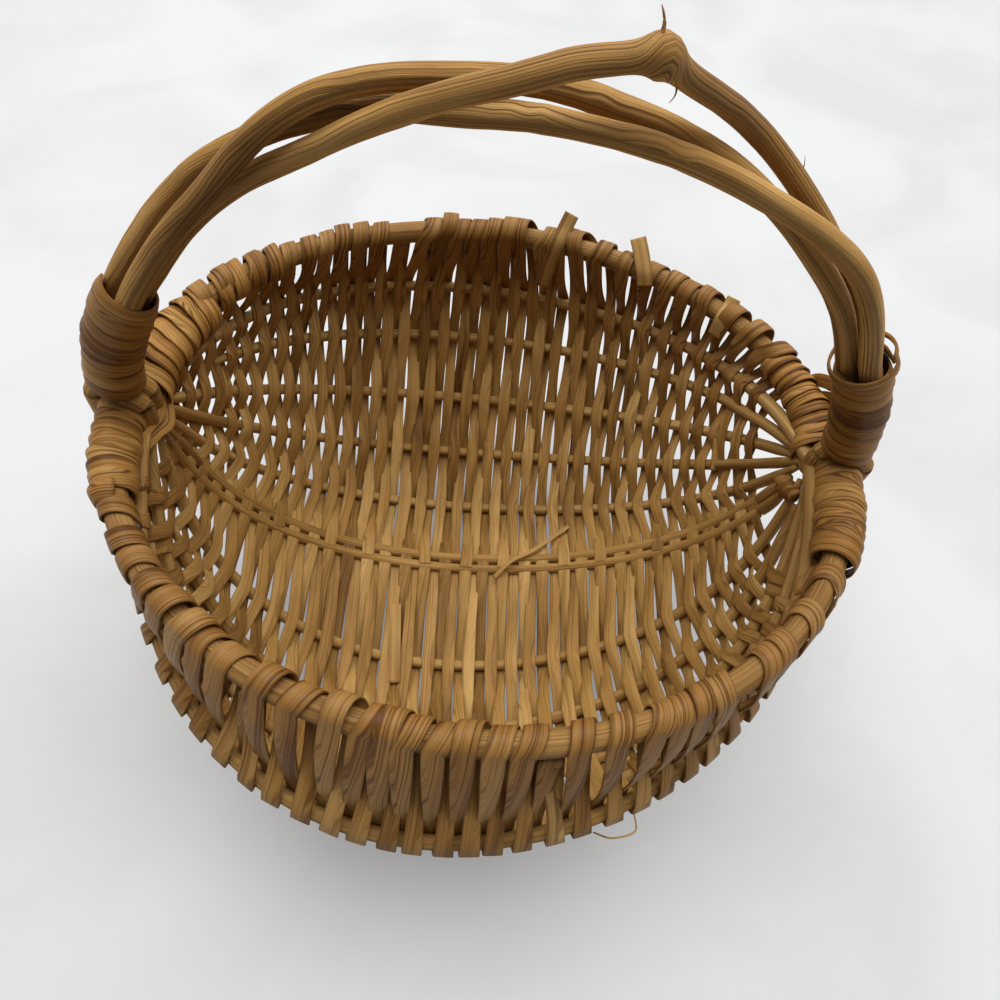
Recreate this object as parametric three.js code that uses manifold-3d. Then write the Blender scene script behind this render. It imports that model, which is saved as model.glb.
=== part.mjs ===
// A rib basket with two rounded lobes and a twisted rod handle, woven from flat splints.
// Millimetres, +Z up, +X from ear to ear, +Y towards the back. It stands on the floor at z = 0.
import * as THREE from "three";
import { mergeVertices } from "three/addons/utils/BufferGeometryUtils.js";
import Module from "manifold-3d";

// Rim hoop, measured on its centre line
const RIM_HALF_LENGTH = 98.7;
const RIM_HALF_WIDTH = 84.5;
const RIM_ROD = 6.5;
const RIM_RINGS = 60;
const RIM_SIDES = 8;

// Ribs: a rib falls by an angle below the rim plane and reaches out from the ear axis
const RIB_ROD = 3.6;
const RIB_TIP = 2.2;
const RIB_HALF_SPAN = 91;
const RIB_FULLNESS = 0.85;
const RIB_LEAN = 0.06;
const RIB_TIP_SWEEP = 8;
const LONG_RIB_START = 5.5;
const PAIR_START = 9;
const SHORT_RIB_FIRST_ROW = 2;
const RIB_RINGS = 24;
const RIB_SIDES = 6;
const BACK_REACH = 90;
const BACK_SIDE_REACH = 92.5;
const FRONT_SIDE_REACH = 100;
const FRONT_REACH = 104;
const LOBE_DEPTH = 89.4;
const CLEFT_FALL = 86.4;
const CLEFT_DEPTH = 84.5;
const lobeReach = (fall) => LOBE_DEPTH / Math.sin(THREE.MathUtils.degToRad(fall));
const RIBS = [
  { name: "back_rib_1", fall: 17, reach: BACK_REACH },
  { name: "back_rib_2", fall: 29, reach: BACK_REACH, short: true },
  { name: "back_rib_3", fall: 44, reach: BACK_REACH },
  { name: "back_rib_4", fall: 57.5, reach: BACK_SIDE_REACH, short: true },
  { name: "back_rib_5", fall: 70.7, reach: lobeReach(70.7) },
  { name: "centre_rod_back", fall: CLEFT_FALL, reach: CLEFT_DEPTH, aside: 1 },
  { name: "centre_rod_front", fall: CLEFT_FALL, reach: CLEFT_DEPTH, aside: -1 },
  { name: "front_rib_5", fall: 111, reach: lobeReach(111) },
  { name: "front_rib_4", fall: 126, reach: FRONT_SIDE_REACH, short: true },
  { name: "front_rib_3", fall: 140, reach: FRONT_REACH },
  { name: "front_rib_2", fall: 152.5, reach: FRONT_REACH, short: true },
  { name: "front_rib_1", fall: 164, reach: FRONT_REACH },
];

// Splints and the rows that they weave, counted from the left ear to the right one
const SPLINT_WIDTH = 4.2;
const SPLINT_THICKNESS = 0.8;
const ROWS = 56;
const WEAVERS = 14;
const FIRST_ROW_ON_RIBS = 14;
const FIRST_ROW_ON_RIM = 20;
const SPLICE_RIB = "front_rib_4";
const WORN_FLAT = 0.5;

// Handle of three rods, twisted loosely round one arch and lashed tight at both its ends.
// A rod's phase says where it lies in the tight bundle at an ear, with 0 outwards and 90 to the back.
// Its route says how far it lies outwards and to the back of the arch between, in rod pitches.
const HANDLE_HEIGHT = 94;
const HANDLE_POWER = 1.75;
const HANDLE_ROD = 5.2;
const HANDLE_STEPS = 40;
const HANDLE_SIDES = 7;
const LASHED_SHARE = 0.16;
const OUTER_TAIL = 14;
const INNER_TAIL = 4;
const STRADDLE_TOP = 8.5;
const STRADDLE_BASE = 2.5;
const KNUCKLE_RISE = 1.6;
const KNUCKLE_PLACE = 80;
const KNUCKLE_SPREAD = 4;
const HANDLE_RODS = [
  {
    name: "handle_rod_outer",
    phases: { left: 15, right: 290 },
    route: [[0.61, 1.07], [0.1, 0.9], [-0.56, 0.12], [-0.25, -0.7], [0.13, -0.57], [0.94, -0.84]],
  },
  {
    name: "handle_rod_kinked",
    phases: { left: 135, right: 50 },
    route: [[-0.47, 0.88], [-0.17, -0.16], [0.99, -1.23], [2.01, -0.85], [0.97, 1.54], [0.39, 1.28]],
    knuckle: true,
  },
  {
    name: "handle_rod_inner",
    phases: { left: 255, right: 170 },
    route: [[0.22, -0.22], [0.99, 0.33], [0.38, 0.51], [0.03, 0.42], [-0.09, 0.74], [-0.11, -0.3]],
  },
];

// Lashings at the ears
const LASHING_STEPS = 8;
const HANDLE_TURNS = 7;
const HANDLE_LASHING_FROM = 10.5;
const HANDLE_LASHING_LENGTH = 31;
const RIM_TURNS = 5;
const RIM_LASHING_FROM = 5.5;
const RIM_LASHING_TO = 17.8;

// Clearances
const GAP = 0.3;
const RIM_TURN_GAP = 0.75;
const HANDLE_TURN_GAP = 1;
const PAIR_GAP = 0.4;
const SIDE_GAP = 0.6;
const RIM_SIDE_GAP = 1.2;
const SPLICE_GAP = 0.6;

const degrees = THREE.MathUtils.degToRad;
const UP = new THREE.Vector3(0, 0, 1);

// Materials
const wood = (name, color, roughness) =>
  new THREE.MeshStandardMaterial({ name, color, roughness, metalness: 0 });
const rodWood = wood("rod_wood", 0xa67c4a, 0.7);
const ribWood = wood("rib_wood", 0xa98250, 0.72);
const splintWood = wood("splint_wood", 0xb08852, 0.65);
const lashingWood = wood("lashing_wood", 0xa06a35, 0.65);

// Solids are lofted through rings of points, with flat ends unless the loft closes on itself
function loft(rings, closed = false) {
  const sides = rings[0].length;
  const positions = rings.flat().flatMap((p) => [p.x, p.y, p.z]);
  const faces = [];
  const spans = closed ? rings.length : rings.length - 1;
  for (let i = 0; i < spans; i++) {
    const here = i * sides;
    const next = ((i + 1) % rings.length) * sides;
    for (let k = 0; k < sides; k++) {
      const l = (k + 1) % sides;
      faces.push(here + k, here + l, next + l);
      faces.push(here + k, next + l, next + k);
    }
  }
  if (!closed) {
    const last = (rings.length - 1) * sides;
    for (let k = 1; k < sides - 1; k++) {
      faces.push(0, k + 1, k);
      faces.push(last, last + k, last + k + 1);
    }
  }
  const geometry = new THREE.BufferGeometry();
  geometry.setAttribute("position", new THREE.Float32BufferAttribute(positions, 3));
  geometry.setIndex(faces);
  return geometry;
}

// A round section across a path, in the plane of two directions
function circle(centre, across, up, radius, sides) {
  const ring = [];
  for (let k = 0; k < sides; k++) {
    const a = (2 * Math.PI * k) / sides;
    ring.push(
      centre
        .clone()
        .addScaledVector(across, radius * Math.cos(a))
        .addScaledVector(up, radius * Math.sin(a)),
    );
  }
  return ring;
}

// A flat section of splint, with its width along one direction and its face along another
function strip(centre, along, face, width) {
  const corner = (a, f) =>
    centre
      .clone()
      .addScaledVector(along, (a * width) / 2)
      .addScaledVector(face, (f * SPLINT_THICKNESS) / 2);
  return [corner(1, 1), corner(1, -1), corner(-1, -1), corner(-1, 1)];
}

const wasm = await Module();
wasm.setup();

function toSolid(geometry) {
  const merged = mergeVertices(geometry, 1e-4);
  return new wasm.Manifold(
    new wasm.Mesh({
      numProp: 3,
      vertProperties: merged.attributes.position.array,
      triVerts: new Uint32Array(merged.index.array),
    }),
  );
}

function toGeometry(solid) {
  const mesh = solid.getMesh();
  const geometry = new THREE.BufferGeometry();
  geometry.setAttribute("position", new THREE.BufferAttribute(mesh.vertProperties, 3));
  geometry.setIndex(new THREE.BufferAttribute(mesh.triVerts, 1));
  return geometry;
}

// Rim hoop: an ellipse in the rim plane, z = 0 while the basket is worked out
function rimPoint(angle, side) {
  return new THREE.Vector3(
    RIM_HALF_LENGTH * Math.cos(angle),
    side * RIM_HALF_WIDTH * Math.sin(angle),
    0,
  );
}

// The rim's frame: the direction towards +X along the rim, and the one straight out of the basket
function rimFrame(angle, side) {
  const along = new THREE.Vector3(
    RIM_HALF_LENGTH * Math.sin(angle),
    -side * RIM_HALF_WIDTH * Math.cos(angle),
    0,
  ).normalize();
  const out = new THREE.Vector3(along.y, -along.x, 0).multiplyScalar(-side);
  return { centre: rimPoint(angle, side), along, out };
}

function rimHoop() {
  const rings = [];
  for (let i = 0; i < RIM_RINGS; i++) {
    const { centre, out } = rimFrame((2 * Math.PI * i) / RIM_RINGS, 1);
    rings.push(circle(centre, UP, out, RIM_ROD / 2, RIM_SIDES));
  }
  return loft(rings, true);
}

// Ribs run from ear to ear, each in its own plane through the ear axis
function ribStart(rib) {
  if (rib.short) return Math.PI - rowOnRibs(SHORT_RIB_FIRST_ROW - 0.5);
  return degrees(rib.aside ? PAIR_START : LONG_RIB_START);
}

function ribDiameter(rib, angle) {
  if (rib.short) return RIB_ROD;
  const fromTip = Math.min(angle, Math.PI - angle) - ribStart(rib);
  const full = THREE.MathUtils.smoothstep(fromTip, 0, degrees(RIB_TIP_SWEEP));
  return THREE.MathUtils.lerp(RIB_TIP, RIB_ROD, full);
}

// The two centre rods lie side by side in one plane's place, half a rod to each side of it
const ribPlane = (rib) =>
  new THREE.Vector3(0, Math.sin(degrees(rib.fall)), Math.cos(degrees(rib.fall)));

function ribPoint(rib, angle) {
  const lean = 1 - RIB_LEAN * Math.cos(angle);
  const reach = rib.reach * Math.pow(Math.sin(angle), RIB_FULLNESS) * lean;
  const point = new THREE.Vector3(
    RIB_HALF_SPAN * Math.cos(angle),
    reach * Math.cos(degrees(rib.fall)),
    -reach * Math.sin(degrees(rib.fall)),
  );
  if (!rib.aside) return point;
  return point.addScaledVector(ribPlane(rib), (rib.aside * (ribDiameter(rib, angle) + PAIR_GAP)) / 2);
}

function ribTangent(rib, angle) {
  const step = 0.002;
  return ribPoint(rib, angle - step).sub(ribPoint(rib, angle + step)).normalize();
}

function ribSolid(rib) {
  const start = ribStart(rib);
  const plane = ribPlane(rib);
  const rings = [];
  for (let i = 0; i <= RIB_RINGS; i++) {
    const angle = Math.PI - start - ((Math.PI - 2 * start) * i) / RIB_RINGS;
    const outwards = new THREE.Vector3().crossVectors(plane, ribTangent(rib, angle));
    rings.push(
      circle(ribPoint(rib, angle), outwards, plane, ribDiameter(rib, angle) / 2, RIB_SIDES),
    );
  }
  return loft(rings);
}

// Weaving: each row crosses the ribs in turn, outside one and inside the next
function rowAngle(row, first) {
  return Math.PI - degrees(first + ((180 - 2 * first) * row) / (ROWS - 1));
}

const rowOnRibs = (row) => rowAngle(row, FIRST_ROW_ON_RIBS);
const rowOnRim = (row) => rowAngle(row, FIRST_ROW_ON_RIM);

// A splint is as wide as the rows beside it allow
function splintWidth(row, gap, placeOf) {
  const place = placeOf(row);
  const pitches = [place.distanceTo(placeOf(row - 1)), place.distanceTo(placeOf(row + 1))];
  return Math.min(SPLINT_WIDTH, Math.min(...pitches) - gap);
}

function crossings(row) {
  const list = [];
  let side = row % 2 === 0 ? -1 : 1;
  for (const rib of RIBS) {
    if (rib.short && Math.min(row, ROWS - 1 - row) < SHORT_RIB_FIRST_ROW) continue;
    const angle = rowOnRibs(row);
    const sideGap = rib === RIBS[0] || rib === RIBS.at(-1) ? RIM_SIDE_GAP : SIDE_GAP;
    if (rib.aside < 0) side = -side;
    list.push({
      rib,
      side,
      centre: ribPoint(rib, angle),
      along: ribTangent(rib, angle),
      width: splintWidth(row, sideGap, (near) => ribPoint(rib, rowOnRibs(near))),
    });
    side = -side;
  }
  return list;
}

// A splint goes round the rim between two rows: up on one side, over the top, down on the other
const WRAP_STEPS = 5;
const WRAP_SWEEP = degrees(205);
const WRAP_RADIUS =
  ((RIM_ROD + SPLINT_THICKNESS) / 2 + GAP) / Math.cos(WRAP_SWEEP / WRAP_STEPS / 2);

// A row that runs inside its last rib meets the rim on the outside, and the other way round
function touchAngle(row, crest, side) {
  const { centre, out } = rimFrame(rowOnRim(row), side);
  const way = crest.point.clone().sub(centre);
  const flat = new THREE.Vector2(way.dot(out), way.z);
  const turn = Math.acos(WRAP_RADIUS / flat.length());
  const towards = Math.atan2(flat.y, flat.x);
  return crest.side < 0 ? towards + turn : towards - turn + 2 * Math.PI;
}

function onWrap(place, side, turn) {
  const { centre, along, out } = rimFrame(place, side);
  const face = out.clone().multiplyScalar(Math.cos(turn)).addScaledVector(UP, Math.sin(turn));
  return { centre: centre.addScaledVector(face, WRAP_RADIUS), along, face };
}

function touchPoint(row, crest, side) {
  return onWrap(rowOnRim(row), side, touchAngle(row, crest, side)).centre;
}

// The crest of a splint over a rib stands off far enough for both of its slopes to clear the rib
function setCrests(row, list) {
  const rims = [rimPoint(rowOnRim(row), 1), rimPoint(rowOnRim(row), -1)];
  const need = (RIB_ROD + SPLINT_THICKNESS) / 2 + GAP;
  list.forEach((c, k) => {
    const before = k > 0 ? list[k - 1].centre : rims[0];
    const after = k < list.length - 1 ? list[k + 1].centre : rims[1];
    const across = after.clone().sub(before);
    c.face = new THREE.Vector3().crossVectors(c.along, across).normalize();
    c.across = new THREE.Vector3().crossVectors(c.face, c.along);
    c.off = need;
  });
  const place = (c) => c.centre.clone().addScaledVector(c.face, c.side * c.off);
  for (let pass = 0; pass < 6; pass++) {
    list.forEach((c) => {
      c.point = place(c);
    });
    list.forEach((c, k) => {
      const nearest = [];
      for (const other of [list[k - 1], list[k + 1]]) {
        const target = other ? other.point : touchPoint(row, c, k === 0 ? 1 : -1);
        const way = target.clone().sub(c.point);
        const fallAway = -c.side * way.dot(c.face);
        const slope = Math.atan2(Math.max(fallAway, 0), Math.abs(way.dot(c.across)));
        nearest.push(Math.cos(slope));
      }
      c.off = need / Math.min(...nearest);
    });
  }
  list.forEach((c) => {
    c.point = place(c);
  });
  return list;
}

const rows = [];
for (let row = 0; row < ROWS; row++) {
  rows.push(setCrests(row, crossings(row)));
}

// Rings round the rim, while the splint moves from one row to the next
function link(fromRow, toRow, side) {
  const crestOf = (row) => (side > 0 ? rows[row][0] : rows[row][rows[row].length - 1]);
  const places = [rowOnRim(fromRow), rowOnRim(toRow)];
  const turns = [fromRow, toRow].map((row) => touchAngle(row, crestOf(row), side));
  if (fromRow === toRow) turns[1] = turns[0] + WRAP_SWEEP * (turns[0] > Math.PI / 2 ? -1 : 1);
  const width = splintWidth(fromRow, RIM_SIDE_GAP, (near) => rimPoint(rowOnRim(near), side));
  const rings = [];
  for (let i = 0; i <= WRAP_STEPS; i++) {
    const share = i / WRAP_STEPS;
    const place = THREE.MathUtils.lerp(...places, share);
    const ring = onWrap(place, side, THREE.MathUtils.lerp(...turns, share));
    rings.push({ ...ring, width });
  }
  return rings;
}

// One row as rings, from the back to the front or the other way
function rowRings(row) {
  const rings = rows[row].map((c) => ({
    centre: c.point,
    along: c.along,
    face: c.face.clone().multiplyScalar(row % 2 === 0 ? 1 : -1),
    width: c.width,
    rib: c.rib.name,
    across: c.across,
  }));
  return row % 2 === 0 ? rings : rings.reverse();
}

// All rings of the weaving in one line, then cut at the splices into single splints
function weaverPaths() {
  const perWeaver = ROWS / WEAVERS;
  const paths = [link(0, 0, 1).slice(0, -1).reverse()];
  for (let row = 0; row < ROWS; row++) {
    for (const ring of rowRings(row)) {
      const isSplice = row % perWeaver === 0 && row > 0 && ring.rib === SPLICE_RIB;
      if (!isSplice) {
        paths.at(-1).push(ring);
        continue;
      }
      const step = ring.across.clone().multiplyScalar((row % 2 === 0 ? 1 : -1) * (SPLICE_GAP / 2));
      paths.at(-1).push({ ...ring, centre: ring.centre.clone().sub(step) });
      paths.push([{ ...ring, centre: ring.centre.clone().add(step) }]);
    }
    if (row < ROWS - 1) paths.at(-1).push(...link(row, row + 1, row % 2 === 0 ? -1 : 1));
  }
  paths.at(-1).push(...link(ROWS - 1, ROWS - 1, 1).slice(0, -1));
  return paths;
}

const stripLoft = (path) => loft(path.map((r) => strip(r.centre, r.along, r.face, r.width)));

// Handle arch: one curve from ear to ear, straight down below the rim plane
class HandleArch extends THREE.Curve {
  getPoint(u, target = new THREE.Vector3()) {
    const turn = Math.PI * (1 - u);
    const power = 2 / HANDLE_POWER;
    const c = Math.cos(turn);
    const x = RIM_HALF_LENGTH * Math.sign(c) * Math.pow(Math.abs(c), power);
    const z = HANDLE_HEIGHT * Math.pow(Math.max(Math.sin(turn), 0), power);
    return target.set(x, 0, z);
  }
}
const arch = new HandleArch();
const ROD_PITCH = HANDLE_ROD + GAP;
const BUNDLE_RADIUS = ROD_PITCH / Math.sqrt(3);

function archFrame(u) {
  const centre = arch.getPoint(u);
  const along = arch.getTangent(THREE.MathUtils.clamp(u, 0.001, 0.999));
  const out = new THREE.Vector3(-along.z, 0, along.x);
  return { centre, along, out };
}

// Where a rod lies across the lashed bundle: outwards of the arch, and to the back
function lashedPlace(phase) {
  const turn = degrees(phase);
  return new THREE.Vector2(Math.cos(turn), Math.sin(turn)).multiplyScalar(BUNDLE_RADIUS);
}

for (const rod of HANDLE_RODS) {
  const between = rod.route.map(([away, back]) => new THREE.Vector2(away, back));
  between.forEach((place) => place.multiplyScalar(ROD_PITCH));
  const ends = [lashedPlace(rod.phases.left), lashedPlace(rod.phases.right)];
  rod.curve = new THREE.SplineCurve([ends[0], ...between, ends[1]]);
}

// The rods part at the ears to hold the rim between them: one on one side, two on the other
function besideRim(rod, ear) {
  const side = (other) => Math.sign(lashedPlace(other.phases[ear]).x);
  const alone = HANDLE_RODS.every((other) => other === rod || side(other) !== side(rod));
  return new THREE.Vector2(
    side(rod) * ((RIM_ROD + HANDLE_ROD) / 2 + GAP),
    alone ? 0 : (Math.sign(lashedPlace(rod.phases[ear]).y) * ROD_PITCH) / 2,
  );
}

function handleRodPoint(rod, u, drop = 0) {
  const { centre, out } = archFrame(u);
  const share = (u - LASHED_SHARE) / (1 - 2 * LASHED_SHARE);
  const place = rod.curve.getPoint(THREE.MathUtils.clamp(share, 0, 1));
  const parted = 1 - THREE.MathUtils.smoothstep(centre.z, STRADDLE_BASE, STRADDLE_TOP);
  place.lerp(besideRim(rod, u < 0.5 ? "left" : "right"), parted);
  if (rod.knuckle) {
    const fromKnuckle = (180 * (1 - u) - KNUCKLE_PLACE) / KNUCKLE_SPREAD;
    place.x += KNUCKLE_RISE * Math.exp(-fromKnuckle * fromKnuckle);
  }
  centre.addScaledVector(out, place.x);
  centre.y += place.y;
  centre.z -= drop;
  return centre;
}

function handleRod(rod) {
  const tail = (u, ear) => {
    const outside = lashedPlace(rod.phases[ear]).x > 0;
    return handleRodPoint(rod, u, outside ? OUTER_TAIL : INNER_TAIL);
  };
  const stations = [];
  for (let i = 0; i <= HANDLE_STEPS; i++) {
    stations.push(i);
    const fromEnd = Math.min(i, HANDLE_STEPS - 1 - i);
    if (fromEnd >= 0 && fromEnd < 2) stations.push(i + 0.5);
  }
  const points = stations.map((i) => handleRodPoint(rod, i / HANDLE_STEPS));
  const outs = stations.map((i) => archFrame(i / HANDLE_STEPS).out);
  points.unshift(tail(0, "left"));
  outs.unshift(outs[0]);
  points.push(tail(1, "right"));
  outs.push(outs.at(-1));
  const rings = points.map((point, i) => {
    const before = points[Math.max(i - 1, 0)];
    const after = points[Math.min(i + 1, points.length - 1)];
    const way = after.clone().sub(before).normalize();
    const up = outs[i].clone().addScaledVector(way, -outs[i].dot(way)).normalize();
    return circle(point, new THREE.Vector3().crossVectors(up, way), up, HANDLE_ROD / 2, HANDLE_SIDES);
  });
  return loft(rings);
}

// A lashing winds round a path as one unbroken splint
function lashing(name, frameAt, turns, inside, width) {
  const radius = (inside + GAP + SPLINT_THICKNESS / 2) / Math.cos(Math.PI / LASHING_STEPS);
  const path = [];
  for (let k = 0; k <= turns * LASHING_STEPS; k++) {
    const { centre, along, out } = frameAt(k / (turns * LASHING_STEPS));
    const turn = (2 * Math.PI * k) / LASHING_STEPS;
    const face = out.clone().multiplyScalar(Math.cos(turn));
    face.addScaledVector(new THREE.Vector3().crossVectors(out, along), Math.sin(turn));
    path.push({ centre: centre.addScaledVector(face, radius), along, face, width });
  }
  let least = Infinity;
  for (let k = LASHING_STEPS; k < path.length; k++) {
    const before = path[k - LASHING_STEPS];
    const leading = before.centre.clone().addScaledVector(before.along, width / 2);
    const trailing = path[k].centre.clone().addScaledVector(path[k].along, -width / 2);
    least = Math.min(least, leading.distanceTo(trailing));
  }
  console.log(`${name}: least gap between turns ${least.toFixed(2)} mm`);
  return stripLoft(path);
}

function handleLashing(name, end) {
  const frameAt = (share) => {
    const distance = HANDLE_LASHING_FROM + HANDLE_LASHING_LENGTH * share;
    const u = arch.getUtoTmapping(0, distance);
    const frame = archFrame(end < 0 ? u : 1 - u);
    if (end > 0) frame.along.negate();
    return frame;
  };
  const pitch = HANDLE_LASHING_LENGTH / HANDLE_TURNS;
  return lashing(name, frameAt, HANDLE_TURNS, BUNDLE_RADIUS + HANDLE_ROD / 2, pitch - HANDLE_TURN_GAP);
}

function rimLashing(name, end, side) {
  const angleAt = (share) => {
    const angle = degrees(THREE.MathUtils.lerp(RIM_LASHING_FROM, RIM_LASHING_TO, share));
    return end < 0 ? Math.PI - angle : angle;
  };
  const length = rimPoint(angleAt(0), side).distanceTo(rimPoint(angleAt(1), side));
  const frameAt = (share) => {
    const frame = rimFrame(angleAt(share), side);
    if (end > 0) frame.along.negate();
    return frame;
  };
  return lashing(name, frameAt, RIM_TURNS, RIM_ROD / 2, length / RIM_TURNS - RIM_TURN_GAP);
}

// Assembly in the rim's own frame
const pieces = [{ name: "rim_hoop", geometry: rimHoop(), material: rodWood }];
for (const rod of HANDLE_RODS) {
  pieces.push({ name: rod.name, geometry: handleRod(rod), material: rodWood });
}
for (const rib of RIBS) {
  pieces.push({ name: rib.name, geometry: ribSolid(rib), material: ribWood });
}
for (const [end, ear] of [
  [-1, "left"],
  [1, "right"],
]) {
  const handleName = `handle_lashing_${ear}`;
  pieces.push({ name: handleName, geometry: handleLashing(handleName, end), material: lashingWood });
  for (const [side, place] of [
    [1, "back"],
    [-1, "front"],
  ]) {
    const name = `rim_lashing_${ear}_${place}`;
    pieces.push({ name, geometry: rimLashing(name, end, side), material: lashingWood });
  }
}
const splints = weaverPaths().map((path, i) => ({
  name: `weaver_${i + 1}`,
  geometry: stripLoft(path),
  material: splintWood,
}));

// The splints that the basket stands on are worn flat
const lowest = Math.min(
  ...splints.map(({ geometry }) => {
    geometry.computeBoundingBox();
    return geometry.boundingBox.min.z;
  }),
);
const floor = lowest + WORN_FLAT;
const below = new THREE.BoxGeometry(4 * RIM_HALF_LENGTH, 4 * RIM_HALF_WIDTH, 2 * WORN_FLAT);
below.translate(0, 0, floor - WORN_FLAT);
below.deleteAttribute("normal");
below.deleteAttribute("uv");
const worn = toSolid(below);
for (const splint of splints) {
  if (splint.geometry.boundingBox.min.z < floor) {
    splint.geometry = toGeometry(toSolid(splint.geometry).subtract(worn));
  }
  pieces.push(splint);
}

// The origin is under the middle of the whole basket, on the floor
const basket = new THREE.Group();
const box = new THREE.Box3();
for (const { name, geometry, material } of pieces) {
  const mesh = new THREE.Mesh(geometry, material);
  mesh.name = name;
  basket.add(mesh);
  geometry.computeBoundingBox();
  box.union(geometry.boundingBox);
}
const middle = box.getCenter(new THREE.Vector3());
basket.position.set(-middle.x, -middle.y, -floor);

export default basket;
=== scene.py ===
"""A two-lobed rib basket of flat splints on an oval rim hoop, with a twisted rod handle.

Shapes are worked out in millimetres in the basket's own frame, whose origin is the middle of the rim hoop,
with +X from the left ear to the right one, +Y to the back and +Z up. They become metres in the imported
model's frame when a mesh is made. Angles round the rim and along a rib start at the right ear.
"""

import math
import random

import bpy
import numpy as np
from mathutils import Matrix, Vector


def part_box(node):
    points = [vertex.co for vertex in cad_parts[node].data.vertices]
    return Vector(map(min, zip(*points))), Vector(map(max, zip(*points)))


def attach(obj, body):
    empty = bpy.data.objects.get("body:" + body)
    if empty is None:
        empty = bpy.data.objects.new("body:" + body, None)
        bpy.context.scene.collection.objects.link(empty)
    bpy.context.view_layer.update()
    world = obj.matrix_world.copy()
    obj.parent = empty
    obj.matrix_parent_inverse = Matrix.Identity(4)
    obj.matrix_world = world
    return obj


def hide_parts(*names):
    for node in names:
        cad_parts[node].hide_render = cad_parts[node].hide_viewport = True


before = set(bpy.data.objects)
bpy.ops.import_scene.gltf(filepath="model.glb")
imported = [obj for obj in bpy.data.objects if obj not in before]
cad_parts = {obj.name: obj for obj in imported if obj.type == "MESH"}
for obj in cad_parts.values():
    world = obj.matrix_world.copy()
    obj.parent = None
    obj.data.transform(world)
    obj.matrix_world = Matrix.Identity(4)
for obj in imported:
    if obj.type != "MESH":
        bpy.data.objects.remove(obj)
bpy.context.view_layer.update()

# Camera: a close wide-angle view down into the basket from the front
IMAGE_PIXELS = 1000
FOCAL_PIXELS = 751
SENSOR_MM = 36
CAMERA_PLACE = (-13.4, -127.4, 164.2)
CAMERA_AZIMUTH = 8.55
CAMERA_DOWN = 56.93
CAMERA_ROLL = 11.69

# Rods and splints, mm
RIM_ROD = 6.5
RIB_ROD = 3.6
SPLINT_WIDTH = 4.5
SPLINT_THICKNESS = 0.8
TOUCH = 0.05

# Shape of the ribs between the ears
RIB_HALF_SPAN = 91
RIB_FULLNESS = 0.85
RIB_LEAN = 0.06
RIB_TIP_SHARE = 0.55
RIB_TIP_SWEEP = 7
PAIR_TIP = 5.5
PAIR_GAP = 0.4
RIB_NAMES = (
    ["back_rib_%d" % i for i in range(1, 6)]
    + ["centre_rod_back", "centre_rod_front"]
    + ["front_rib_%d" % i for i in range(5, 0, -1)]
)
# Degrees from the left and right ear where a rib ends, and where the rows begin to pass round it
RIB_ENDS = {
    "back_rib_1": (3, 2),
    "back_rib_2": (19.5, 3),
    "back_rib_4": (3.5, 3),
    "front_rib_4": (16, 6),
    "front_rib_2": (16, 6),
    "front_rib_1": (3, 2),
}
RIB_WOVEN = {"back_rib_2": (21, 27), "back_rib_4": (21, 27), "front_rib_4": (15, 18), "front_rib_2": (15, 18)}
USUAL_END = (3, 2.8)
# The bare ends that lie inside the rows passing them, and the two thick ones that meet in an elbow
LIFTED_ENDS = ("back_rib_2", "back_rib_4")
LOOSE_RIB_LIFT = 3.6
LIFT_LEAD = 2
LIFT_SWEEP = 9
ELBOW_RIBS = ("back_rib_1", "front_rib_1")
ELBOW_RADIUS = 2.15
ELBOW_THINS = (15, 50)
ELBOW_TIP = np.array([92.3, 0, -1.5])

# Rows of weaving, counted from the left ear, in degrees along the ribs
ROWS = 68
WEAVERS = 14
FIRST_ROW = 172.5
LAST_ROW = 17
WRAP_LEAN = 2.2
ROW_NUDGE = 0.3
CROSSING_NUDGE = 0.12
RIM_PULL = 0.12
# The rows drift to the right on the two foremost ribs, between these angles
FRONT_DRIFT = 3.5
DRIFT_SPAN = (85, 150)
DRIFT_SHARES = {"front_rib_1": 1, "front_rib_2": 0.5}

# Where each splint goes over the rim, in degrees. The skipped ones fold back just below the rim
FRONT_WRAPS = (
    [163, 156.5, 150.2, 145.4, 140.3, 136.2, 131.7, 127.8, 124.1, 121, 118.1, 113.4, 107.6, 103.7, 101, 98.6]
    + [94.8, 91.2, 87.5, 84, 80.8, 77, 72, 66.7, 63.1, 59.7, 55.8, 51.7, 47.7, 44.3, 37, 29.1, 23.5, 18.5]
)
FRONT_SKIPPED = (9, 20, 27, 32, 33)
BACK_WRAPS = (
    [165, 161, 157, 151.5, 146.7, 140.1, 136.3, 132.4, 127.6, 124.3, 121.1, 117.4, 113.6, 109, 104.1, 100.6]
    + [97.6, 94.4, 91.2, 87.9, 85, 80.6, 77, 73.2, 69.3, 63.2, 57.9, 53.4, 49.6, 45, 39, 33.4, 28.2]
    + [24, 19.5]
)
BACK_SKIPPED = (0, 1, 2, 6, 13, 33, 34)

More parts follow.
